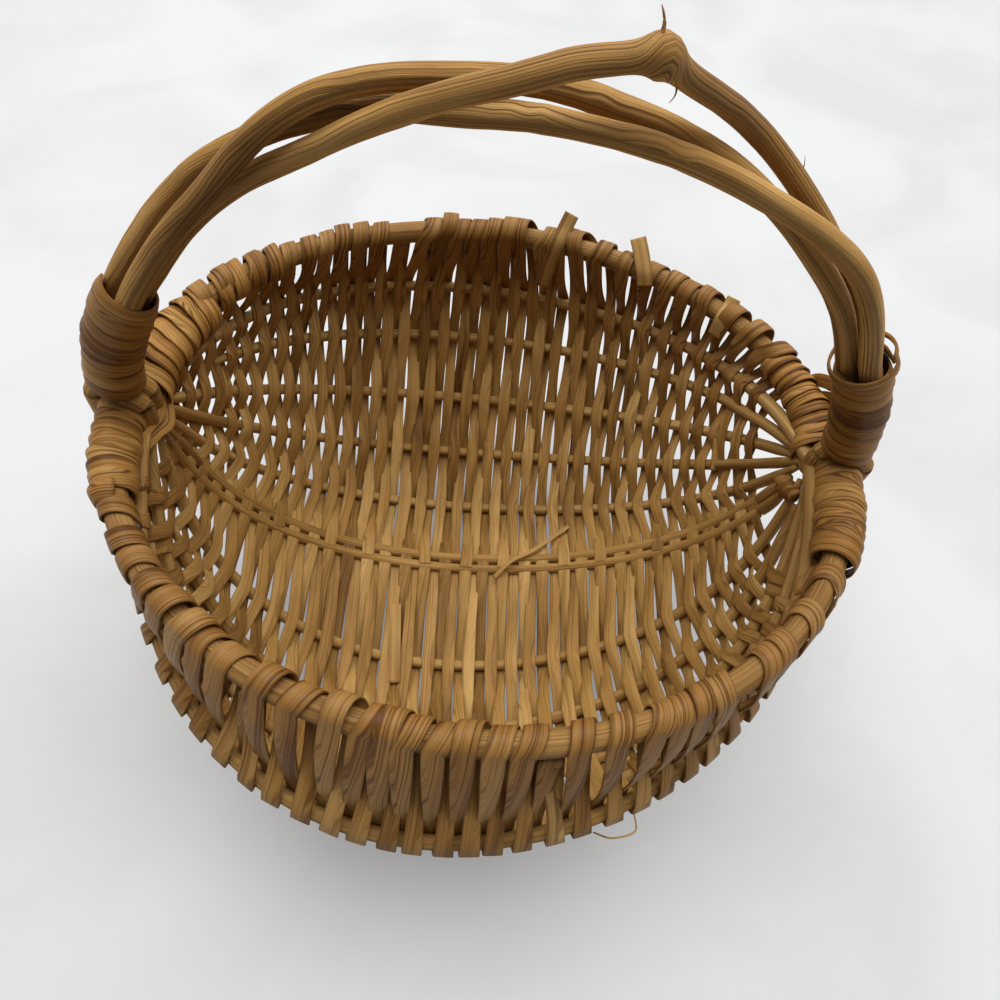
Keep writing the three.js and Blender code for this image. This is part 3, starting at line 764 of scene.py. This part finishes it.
def make_weavers():
    rng = random.Random(11)
    rows = [Row(row, rng) for row in range(ROWS)]
    centres, sideways, slips, widths, tones, middles = [], [], [], [], [], []
    count = 0
    for number, row in enumerate(rows):
        onwards = number % 2 == 0
        order = slice(None) if onwards else slice(None, None, -1)
        length = len(row.centres)
        middles.append(count + (row.middle if onwards else length - row.middle))
        centres.append(row.centres[order])
        sideways.append(row.sideways[order])
        slips.append(row.slip[order] * (1 if onwards else -1))
        widths.append(row.width[order])
        tones.append(row.tone)
        count += length
        if number + 1 == ROWS:
            break
        end = -1 if onwards else 0
        loose = min(abs(rng.gauss(0, FRONT_LOOSENESS if onwards else BACK_LOOSENESS)), MOST_LOOSE)
        sway = rng.gauss(0, WRAP_SWAY)
        if not over_rim(number, -1 if onwards else 1):
            loose, sway = FOLD_LOOSENESS, 0
        wrapped, wrap_sideways = turn_round(row.ends[end], rows[number + 1].ends[end], loose, sway)
        centres.append(wrapped)
        sideways.append(wrap_sideways)
        slips.append(np.zeros(len(wrapped)))
        widths.append(np.linspace(row.width[end], rows[number + 1].width[end], len(wrapped)))
        tones.append(np.linspace(row.tone[0], rows[number + 1].tone[0], len(wrapped)))
        count += len(wrapped)
    centres, sideways = np.concatenate(centres), np.concatenate(sideways)
    slips, widths, tones = np.concatenate(slips), np.concatenate(widths), np.concatenate(tones)
    # Towards the rim the splints grow more orange and darker: handling, and painted shade under the rim
    wear_and_shade = smoothstep(centres[:, 2], *HANDLED_AND_SHADED_HEIGHT)
    width = SPLINT_WIDTH * widths + wander(rng, count, 0.1, 24)
    tone = 0.52 + tones + wander(rng, count, 0.07, 40)
    twist = TILT * slips + wander(rng, count, 0.025, 12)

    # Each splint ends on the inside of a row that crosses the centre rods, under the next one's end
    lap = STATIONS_PER_SPAN // 2 + 1
    cuts = [2 * round(ROWS * number / WEAVERS / 2) + 1 for number in range(1, WEAVERS)]
    starts = [0] + [middles[row] - lap for row in cuts]
    ends = [middles[row] + lap for row in cuts] + [count]
    for number, (start, end) in enumerate(zip(starts, ends)):
        skin = Skin()
        path = centres[start:end].copy()
        if number:
            lifted = SPLINT_THICKNESS * (1 - smoothstep(np.arange(end - start), 2 * lap, 4 * lap))
            path += lifted[:, None] * unit(-path * (0, 1, 1) + np.array([0, 0, 1.0]))
        part = slice(start, end)
        lay_strip(
            skin, path, sideways[part], width[part], 20.0 + number, tone[part], wear_and_shade[part], twist[part]
        )
        skin.piece("splint_%d" % (number + 1), splint_wood, ["weaver_%d" % (number + 1)])


# Handle
def arch_point(u):
    turn = math.pi * (1 - u)
    power = 2 / HANDLE_POWER
    c = math.cos(turn)
    s = max(math.sin(turn), 0)
    return np.array([RIM_HALF[0] * math.copysign(abs(c) ** power, c), 0.0, HANDLE_HEIGHT * s**power])


ARCH_SAMPLES = 2000
ARCH_SHARES = np.linspace(0, 1, ARCH_SAMPLES + 1)
ARCH_POINTS = np.array([arch_point(u) for u in ARCH_SHARES])
ARCH_LENGTHS = np.concatenate([[0], np.cumsum(np.linalg.norm(np.diff(ARCH_POINTS, axis=0), axis=1))])


def arch_frame(u):
    centre = arch_point(u)
    here = min(max(u, 0.001), 0.999)
    along = unit(arch_point(here + 0.0005) - arch_point(here - 0.0005))
    return centre, along, np.array([-along[2], 0.0, along[0]])


def arch_frame_at(end, distance):
    """The arch's frame at a distance up it, in mm, from the left ear (-1) or the right one (1)."""
    share = np.interp(distance, ARCH_LENGTHS, ARCH_SHARES)
    centre, along, out = arch_frame(share if end < 0 else 1 - share)
    return centre, (along if end < 0 else -along), out


def lashed_place(phase):
    turn = math.radians(phase)
    return BUNDLE_RADIUS * np.array([math.cos(turn), math.sin(turn)])


class HandleRod:
    def __init__(self, name):
        rod = HANDLE_RODS[name]
        self.name = name
        self.lashed = [lashed_place(phase) for phase in rod["phases"]]
        inner = [HANDLE_PITCH * np.array(place) for place in rod["route"]]
        self.points = np.array([self.lashed[0], *inner, self.lashed[1]])

    def place(self, share):
        """A uniform Catmull-Rom curve over the route, in mm away from the basket and to the back."""
        last = len(self.points) - 1
        at = min(max(share, 0), 1) * last
        i = min(int(at), last - 1)
        t = at - i
        a, b, c, d = (self.points[min(max(k, 0), last)] for k in (i - 1, i, i + 1, i + 2))
        square = 2 * a - 5 * b + 4 * c - d
        cube = 3 * b - a - 3 * c + d
        return 0.5 * (2 * b + (c - a) * t + square * t**2 + cube * t**3)

    def beside_rim(self, ear):
        side = np.sign(self.lashed[ear][0])
        alone = all(np.sign(rod.lashed[ear][0]) != side for rod in ROD_SET if rod is not self)
        return np.array([side * BESIDE_RIM, 0 if alone else np.sign(self.lashed[ear][1]) * HANDLE_PITCH / 2])

    def point(self, u):
        centre, _, out = arch_frame(u)
        place = self.place((u - LASHED_SHARE) / (1 - 2 * LASHED_SHARE))
        place = lerp(self.beside_rim(0 if u < 0.5 else 1), place, smoothstep(centre[2], *STRADDLE))
        if self.name == "kinked":
            from_knuckle = abs(180 * (1 - u) - KNUCKLE_PLACE) / KNUCKLE_SPREAD
            place[0] += KNUCKLE_RISE * math.exp(-(from_knuckle**KNUCKLE_SHARPNESS))
        return centre + out * place[0] + BACK * place[1]

    def radius(self, u):
        centre = arch_point(u)
        radius = lerp(HANDLE_THICK, HANDLE_THIN, smoothstep(centre[2], *HANDLE_THINS))
        if self.name == "kinked":
            from_knuckle = (180 * (1 - u) - KNUCKLE_PLACE) / KNUCKLE_SWELL_SPREAD
            radius += KNUCKLE_SWELL * math.exp(-from_knuckle * from_knuckle)
        return radius


ROD_SET = [HandleRod(name) for name in HANDLE_RODS]

# Splinters that stick out of the kinked rod: place along the arch, way out, to the back and along, mm
SPLINTERS = (
    (0.552, 4.6, 0.5, -1.6, 0.55),
    (0.548, 2.6, 0.2, 1.5, 0.4),
    (0.567, -3.4, -1.2, 0.8, 0.28),
    (0.688, 2.6, 0.6, -1.8, 0.22),
    (0.79, 2.4, 0.8, 1.6, 0.25),
)


def make_handle():
    for number, rod in enumerate(ROD_SET):
        rng = random.Random(70 + number)
        skin = Skin()
        stations = 300
        shares = np.linspace(0, 1, stations)
        centres = np.array([rod.point(u) for u in shares])
        radius = np.array([rod.radius(u) for u in shares])
        tails = []
        for ear, end in ((0, 0), (1, -1)):
            length = OUTER_TAIL if rod.lashed[ear][0] > 0 else INNER_TAIL
            drop = np.linspace(1, 0, 8)[:-1, None] * np.array([[0, 0, -length]])
            tails.append(centres[end] + drop)
        centres = np.concatenate([tails[0], centres, tails[1][::-1]])
        radius = np.pad(radius, len(tails[0]), mode="edge")
        count = len(centres)
        centres = centres + np.stack([wander(rng, count, 0.12, 15) for _ in range(3)], axis=1)
        radius = radius + wander(rng, count, 0.07, 14) + wander(rng, count, 0.03, 4)
        tone = 0.5 + rng.uniform(-0.05, 0.05) + wander(rng, count, 0.08, 30)
        lay_rod(skin, centres, radius, 30.0 + number, tone, corners=24)
        if rod.name == "kinked":
            for u, outwards, backwards, onwards, thick in SPLINTERS:
                _, along, out = arch_frame(u)
                way = out * outwards + BACK * backwards + along * onwards
                root = rod.point(u) + unit(way) * rod.radius(u) * 0.6
                steps = np.linspace(0, 1, 8)[:, None]
                bend = along * 0.8 * np.sin(np.pi * steps)
                taper = thick * (1 - 0.8 * steps[:, 0])
                lay_rod(skin, root + way * steps + bend, taper, seed=35.0, tone=0.75, corners=7)
        skin.piece("handle_%s" % rod.name, rod_wood, ["handle_rod_" + rod.name])


# Lashings
STATIONS_PER_TURN = 30


def winding(skin, rng, frame_at, radius, turns, width, tilt, seed, tone, wear_and_shade, uneven=1.0):
    """A splint wound round a path, each turn lapping over the one before by its tilt.

    The radius is a number, or a function of the share of the path and the turn.
    """
    count = int(turns * STATIONS_PER_TURN) + 1
    centres, ways = [], []
    for i in range(count):
        share = i / (count - 1)
        centre, along, out = frame_at(share)
        turn = 2 * math.pi * turns * share
        face = out * math.cos(turn) + np.cross(out, along) * math.sin(turn)
        centres.append(centre + face * (radius(share, turn) if callable(radius) else radius))
        ways.append(along * math.cos(tilt) + face * math.sin(tilt))
    centres = np.array(centres) + np.stack([wander(rng, count, 0.14 * uneven, 9) for _ in range(3)], axis=1)
    width = width + wander(rng, count, 0.3 * uneven, 11)
    tones = tone + wander(rng, count, 0.1, 30)
    twist = wander(rng, count, 0.05 * uneven, 12)
    lay_strip(skin, centres, np.array(ways), width, seed, tones, wear_and_shade, twist)


def tie(skin, points, sideways, width, seed, rng):
    """A splint drawn straight from one thing to another."""
    centres = curve_through(points, 8)
    count = len(centres)
    ways = np.broadcast_to(np.asarray(sideways, dtype=float), (count, 3))
    tone = 0.5 + wander(rng, count, 0.08, 10)
    lay_strip(skin, centres, ways, width + wander(rng, count, 0.15, 8), seed, tone, wear_and_shade=0.7)


LASHED_RADIUS = BUNDLE_RADIUS + HANDLE_THICK
HANDLE_LASHING = (9.5, 42)
HANDLE_TURNS = 8
# Ties from a handle lashing to the back rim. The first one's way up the handle, mm, its place on the rim,
# degrees from the ear, and its drop outside the rim, mm, each with the step to the next tie
TIES = 3
TIE_WIDTH = 4.2
TIE_HEIGHT, TIE_HEIGHT_STEP = 13, 3.5
TIE_PLACE, TIE_PLACE_STEP = 13, 3
TIE_DROP, TIE_DROP_STEP = 4, 3
# Lashings round the rim beside the ears: from, to in degrees from the ear, turns, width, tilt, how far the
# turns reach in and down round the ribs' tips at the ear's end and at the far end, and how loose they are
RIM_LASHINGS = {
    ("left", 1): (5, 29, 7.3, 5.2, -0.2, (6.5, 3.5), 0.5),
    ("left", -1): (3, 21, 7.3, 5.0, -0.22, (2.5, 1), 0.8),
    ("right", 1): (4, 28, 9.3, 5.5, -0.26, (6.5, 0.3), 0.5),
    ("right", -1): (1, 23, 10.3, 4.2, -0.24, (2.2, 0.8), 1.5),
}
# How far the turns' furthest reach lies round from straight inwards, in radians
FAN_TURN = 0.7
# Bands across the ribs' tips inside each ear: height of each end and of the middle, way in, width, mm
EAR_BANDS = ((2.0, 0.6, 1.4, 5.0), (0.2, -3.4, 4.4, 4.8), (-1.2, -7.2, 6.2, 4.4))
BAND_PLACES = (13, 8, 4, 0, -4, -8, -13)
# The curled knot under the right ear, and the loose ring round the rods over the right lashing
KNOT = np.array([(89.9, 1.5, -14.2), (90.4, -7.5, -9.2)])
LOOSE_RING = (41.5, 46)
# The folded wraps that go on from the left ear's back lashing: from, to in degrees, turns, width, tilt
FOLDED_WRAPS = (29.5, 46, 4.1, 4.6, 0.1)


def knot_frame(share):
    along = unit(KNOT[1] - KNOT[0])
    return lerp(KNOT[0], KNOT[1], share), along, unit(np.cross(along, UP))


def up_handle(end, first, last):
    """Frames up the handle, from first to last in mm from the left ear (-1) or the right one (1)."""
    return lambda share: arch_frame_at(end, lerp(first, last, share))


def along_rim(end, side, first, last):
    """Frames along the back rim (1) or the front one (-1), from first to last in degrees from an ear."""

    def frame_at(share):
        angle = math.radians(lerp(first, last, share))
        centre, along, out = rim_frame(angle if end > 0 else math.pi - angle, side)
        return centre, (along if end < 0 else -along), out

    return frame_at


def round_tips(end, side, fan, slack):
    """The radius of turns that reach in and down round the ribs' tips."""
    inside_down = math.pi + FAN_TURN * end * side

    def radius(share, turn):
        spread = max(math.cos(turn - inside_down), 0) ** 1.5
        reach = lerp(fan[1], fan[0], (1 - share) ** 2)
        return RIM_ROD / 2 + SPLINT_THICKNESS * 0.9 + slack + reach * spread

    return radius


def tie_to_rim(skin, rng, end, number):
    start, _, out = arch_frame_at(end, TIE_HEIGHT + TIE_HEIGHT_STEP * number)
    degrees = TIE_PLACE + TIE_PLACE_STEP * number
    goal, _, rim_out = rim_frame(math.radians(degrees if end > 0 else 180 - degrees), 1)
    from_lashing = start + out * 3 + BACK * LASHED_RADIUS
    to_rim = goal + rim_out * (RIM_CLEAR + 0.8) - UP * (TIE_DROP - TIE_DROP_STEP * number)
    middle = (from_lashing + to_rim) / 2 + out * 1.5
    points = [from_lashing, middle, to_rim, to_rim - UP * 5 - rim_out * 3]
    tie(skin, points, UP, TIE_WIDTH, 61.0 + number, rng)


def band_over_tips(skin, rng, end, number):
    high_end, low_middle, reach, width = EAR_BANDS[number]
    points = []
    for degrees in BAND_PLACES:
        middle = 1 - abs(degrees) / BAND_PLACES[0]
        angle = math.radians(abs(degrees))
        centre, _, out = rim_frame(angle if end > 0 else math.pi - angle, 1 if degrees > 0 else -1)
        inwards = lerp(0.5, RIM_ROD / 2 + reach, math.sqrt(middle))
        points.append(centre - out * inwards + UP * lerp(high_end, low_middle, middle))
    down_and_in = np.array([-0.8 * end, 0, -0.6])
    tie(skin, points, down_and_in, width, 66.0 + number, rng)


def make_handle_lashing(rng, end, ear):
    skin = Skin()
    winding(
        skin, rng, up_handle(end, *HANDLE_LASHING), LASHED_RADIUS + SPLINT_THICKNESS * 0.6, HANDLE_TURNS,
        width=5.6, tilt=-0.16, seed=60.0 + end, tone=0.42, wear_and_shade=0.6,
    )
    for number in range(TIES):
        tie_to_rim(skin, rng, end, number)
    for number in range(len(EAR_BANDS) if ear == "left" else 1):
        band_over_tips(skin, rng, end, number)
    if ear == "right":
        winding(
            skin, rng, knot_frame, radius=2.1, turns=2.6,
            width=3.4, tilt=-0.35, seed=69.0, tone=0.4, wear_and_shade=0.5,
        )
        winding(
            skin, rng, up_handle(end, *LOOSE_RING), radius=LASHED_RADIUS + 1.5, turns=1.1,
            width=1.8, tilt=-0.1, seed=69.5, tone=0.6, wear_and_shade=0.4,
        )
    skin.piece("handle_wrap_" + ear, lashing_wood, ["handle_lashing_" + ear])


def make_rim_lashing(rng, end, ear, side, place):
    skin = Skin()
    first, last, turns, width, tilt, fan, slack = RIM_LASHINGS[ear, side]
    winding(
        skin, rng, along_rim(end, side, first, last), round_tips(end, side, fan, slack), turns, width, tilt,
        seed=64.0 + end + 10 * side, tone=0.5, wear_and_shade=0.35, uneven=1.3,
    )
    if (ear, side) == ("left", 1):
        first, last, turns, width, tilt = FOLDED_WRAPS
        winding(
            skin, rng, along_rim(end, side, first, last), RIM_CLEAR + 1.4, turns, width, tilt,
            seed=79.0, tone=0.5, wear_and_shade=0.6,
        )
    name = "%s_%s" % (ear, place)
    skin.piece("rim_wrap_" + name, lashing_wood, ["rim_lashing_" + name])


def make_lashings():
    for end, ear in ((-1, "left"), (1, "right")):
        rng = random.Random(90 + end)
        make_handle_lashing(rng, end, ear)
        make_rim_lashing(rng, end, ear, 1, "back")
        make_rim_lashing(rng, end, ear, -1, "front")


# Loose ends and fibres. Those on the weave hold (fall, angle, lift) places on the inside of the shell, in
# degrees and mm; those at the rim hold (angle round the back rim, out, up) places, in degrees and mm
LAID_STRIPS = (
    (((92, 84.5, 3.6), (88, 80.5, 4.6), (85, 76, 4.8), (80.5, 71, 4.4), (76.5, 66.5, 3.6)), 1.5, 0.45),
    (((100, 106.5, 3.2), (106, 106, 3.6), (112, 105.5, 3.4), (117.5, 105, 1.5)), 4.2, 0.8),
    (((60, 28, 1.8), (53, 28.5, 3.2), (46, 28.8, 3.2)), 3.8, 0.7),
)
RIM_STRIPS = (
    (((79.8, -4.6, -15), (79.2, -4.4, -5), (78.4, -3.5, 3), (77.6, 0.5, 7), (77, 3.2, 10)), 4.9),
    (((63.8, 3.5, 8.5), (62.2, 0.5, 6.2), (60, -3.4, 2.4), (58.8, -4.8, -1.5)), 5.2),
    (((41.6, 2.0, 6.2), (41.4, 0.4, 4.4), (41, -3.4, 1.5), (40.6, -4.6, -5)), 4.6),
)
LOOSE_FIBRES = ((((165, 71, -3.2), (171, 69.5, -4.5), (170, 66, -5.5), (164, 64, -3.2)), 0.22),)


def shell_point(fall, angle, lift):
    """A place on the weave's sheet, lifted to the inside."""
    reach = np.interp(math.radians(fall), [rib.fall for rib in RIBS], [rib.reach for rib in RIBS])
    fall, angle = math.radians(fall), math.radians(angle)
    reach = reach * math.sin(angle) ** RIB_FULLNESS * (1 - RIB_LEAN * math.cos(angle)) - lift
    return np.array([RIB_HALF_SPAN * math.cos(angle), reach * math.cos(fall), -reach * math.sin(fall)])


def make_loose_ends():
    rng = random.Random(7)
    skin = Skin()
    for number, (places, width, thickness) in enumerate(LAID_STRIPS):
        centres = curve_through([shell_point(*place) for place in places], 8)
        out = np.array([unit(shell_point(f, a, -1) - shell_point(f, a, 1)) for f, a, _ in places])
        out = curve_through(out, 8)[: len(centres)]
        tone = 0.68 + wander(rng, len(centres), 0.05, 9)
        sideways = np.cross(way_along(centres), out)
        lay_strip(skin, centres, sideways, width, 80.0 + number, tone, thickness=thickness)
    for number, (places, width) in enumerate(RIM_STRIPS):
        points, ways = [], []
        for degrees, outwards, height in places:
            centre, along, out = rim_frame(math.radians(degrees), 1)
            points.append(centre + out * outwards + UP * height)
            ways.append(along)
        centres = curve_through(points, 8)
        tone = 0.72 + wander(rng, len(centres), 0.05, 9)
        sideways = curve_through(ways, 8)[: len(centres)]
        lay_strip(skin, centres, sideways, width, 85.0 + number, tone, wear_and_shade=0.3)
    for places, radius in LOOSE_FIBRES:
        centres = curve_through([shell_point(*place) for place in places], 10)
        lay_rod(skin, centres, radius, seed=90.0, tone=0.7, corners=6)
    skin.piece("loose_ends", splint_wood)


# Stage: pale floor, and soft light from above and a little behind
FLOOR_HALF = 4.0
FLOOR_WHITE = (0.86, 0.865, 0.87)
FLOOR_WHITE_SHARE = 0.22
FLOOR_MOTTLE = ((0.35, (0.62, 0.625, 0.63)), (0.6, (0.7, 0.71, 0.72)))
# The floor's own colour for the light that it gives back to the basket
FLOOR_GREY = (0.5, 0.5, 0.5)
SKY_COLOUR = (0.97, 0.98, 1.0)
SKY_SEEN = 0.82
# The sky's light on the basket, from its dullest side to its brightest
SKY_SPAN = (0.1, 0.9)
SKY_LOW = 0.02
SKY_HIGH = 0.62
SKY_BRIGHTEST = (0, 0.4, 0.92)
LAMP_PLACE = (-0.05, 0.42, 1.4)
LAMP_SIZE = (1.9, 1.5)
LAMP_WATTS = 27
LAMP_COLOUR = (1.0, 0.985, 0.96)


def direct_rays(nodes, links):
    """1 for the rays that show the background itself: from the camera, reflected or refracted."""
    rays = nodes.new("ShaderNodeLightPath")
    seen = rays.outputs["Is Camera Ray"]
    for kind in ("Is Glossy Ray", "Is Transmission Ray"):
        either = nodes.new("ShaderNodeMath")
        either.operation = "MAXIMUM"
        links.new(seen, either.inputs[0])
        links.new(rays.outputs[kind], either.inputs[1])
        seen = either.outputs[0]
    return seen


def make_floor():
    material = bpy.data.materials.new("floor_surface")
    material.use_nodes = True
    nodes = material.node_tree.nodes
    links = material.node_tree.links
    shader = nodes["Principled BSDF"]
    shader.inputs["Roughness"].default_value = 0.6
    shader.inputs["Specular IOR Level"].default_value = 0.25
    veins = nodes.new("ShaderNodeTexNoise")
    veins.inputs["Scale"].default_value = 9
    veins.inputs["Detail"].default_value = 6
    veins.inputs["Distortion"].default_value = 0.8
    links.new(nodes.new("ShaderNodeTexCoord").outputs["Object"], veins.inputs["Vector"])
    mottle = nodes.new("ShaderNodeValToRGB")
    for element, (position, colour) in zip(mottle.color_ramp.elements, FLOOR_MOTTLE):
        element.position = position
        element.color = (*colour, 1)
    links.new(veins.outputs["Fac"], mottle.inputs[0])

    # The floor looks paler itself than its light on the basket, and keeps the basket's shadow
    seen = direct_rays(nodes, links)
    paler = nodes.new("ShaderNodeMix")
    paler.data_type = "RGBA"
    paler.inputs[6].default_value = (*FLOOR_GREY, 1)
    links.new(seen, paler.inputs[0])
    links.new(mottle.outputs[0], paler.inputs[7])
    links.new(paler.outputs[2], shader.inputs["Base Color"])
    white = nodes.new("ShaderNodeEmission")
    white.inputs["Color"].default_value = (*FLOOR_WHITE, 1)
    share = nodes.new("ShaderNodeMath")
    share.operation = "MULTIPLY"
    share.inputs[1].default_value = FLOOR_WHITE_SHARE
    links.new(seen, share.inputs[0])
    blend = nodes.new("ShaderNodeMixShader")
    links.new(share.outputs[0], blend.inputs[0])
    links.new(shader.outputs[0], blend.inputs[1])
    links.new(white.outputs[0], blend.inputs[2])
    links.new(blend.outputs[0], nodes["Material Output"].inputs[0])
    mesh = bpy.data.meshes.new("floor")
    corners = [(-1, -1), (1, -1), (1, 1), (-1, 1)]
    mesh.from_pydata([(x * FLOOR_HALF, y * FLOOR_HALF, 0) for x, y in corners], [], [(0, 1, 2, 3)])
    mesh.materials.append(material)
    floor = bpy.data.objects.new("floor", mesh)
    bpy.context.scene.collection.objects.link(floor)


def make_light():
    world = bpy.data.worlds.new("sky")
    bpy.context.scene.world = world
    world.use_nodes = True
    nodes = world.node_tree.nodes
    links = world.node_tree.links
    background = nodes["Background"]
    background.inputs["Color"].default_value = (*SKY_COLOUR, 1)
    # Brighter above and behind than near the horizon and in front
    facing = nodes.new("ShaderNodeVectorMath")
    facing.operation = "DOT_PRODUCT"
    facing.inputs[1].default_value = SKY_BRIGHTEST
    links.new(nodes.new("ShaderNodeTexCoord").outputs["Generated"], facing.inputs[0])
    glow = nodes.new("ShaderNodeMapRange")
    glow.inputs["From Min"].default_value, glow.inputs["From Max"].default_value = SKY_SPAN
    glow.inputs["To Min"].default_value = SKY_LOW
    glow.inputs["To Max"].default_value = SKY_HIGH
    links.new(facing.outputs["Value"], glow.inputs["Value"])
    strength = nodes.new("ShaderNodeMix")
    strength.inputs["B"].default_value = SKY_SEEN
    links.new(direct_rays(nodes, links), strength.inputs["Factor"])
    links.new(glow.outputs[0], strength.inputs["A"])
    links.new(strength.outputs[0], background.inputs["Strength"])

    light = bpy.data.lights.new("overhead", "AREA")
    light.shape = "RECTANGLE"
    light.size, light.size_y = LAMP_SIZE
    light.energy = LAMP_WATTS
    light.color = LAMP_COLOUR
    lamp = bpy.data.objects.new("overhead", light)
    lamp.location = LAMP_PLACE
    x, y, z = LAMP_PLACE
    lamp.rotation_euler = (-math.atan2(y, z), math.atan2(x, z), 0)
    bpy.context.scene.collection.objects.link(lamp)


def make_camera():
    azimuth, down, roll = (math.radians(a) for a in (CAMERA_AZIMUTH, CAMERA_DOWN, CAMERA_ROLL))
    ahead = math.cos(down)
    forward = np.array([math.sin(azimuth) * ahead, math.cos(azimuth) * ahead, -math.sin(down)])
    level = np.array([math.cos(azimuth), -math.sin(azimuth), 0.0])
    upright = np.cross(level, forward)
    right = level * math.cos(roll) + upright * math.sin(roll)
    upright = np.cross(right, forward)
    data = bpy.data.cameras.new("camera")
    data.sensor_width = SENSOR_MM
    data.lens = SENSOR_MM * FOCAL_PIXELS / IMAGE_PIXELS
    data.clip_start = 0.01
    camera = bpy.data.objects.new("camera", data)
    turn = Matrix((right, upright, -forward)).transposed().to_4x4()
    place = (np.array(CAMERA_PLACE) + RIM_CENTRE) * MM
    camera.matrix_world = Matrix.Translation(place.tolist()) @ turn
    bpy.context.scene.collection.objects.link(camera)
    bpy.context.scene.camera = camera


make_camera()
make_rim()
make_ribs()
make_weavers()
make_handle()
make_lashings()
make_loose_ends()
make_floor()
make_light()
bpy.context.scene.view_settings.view_transform = "Standard"
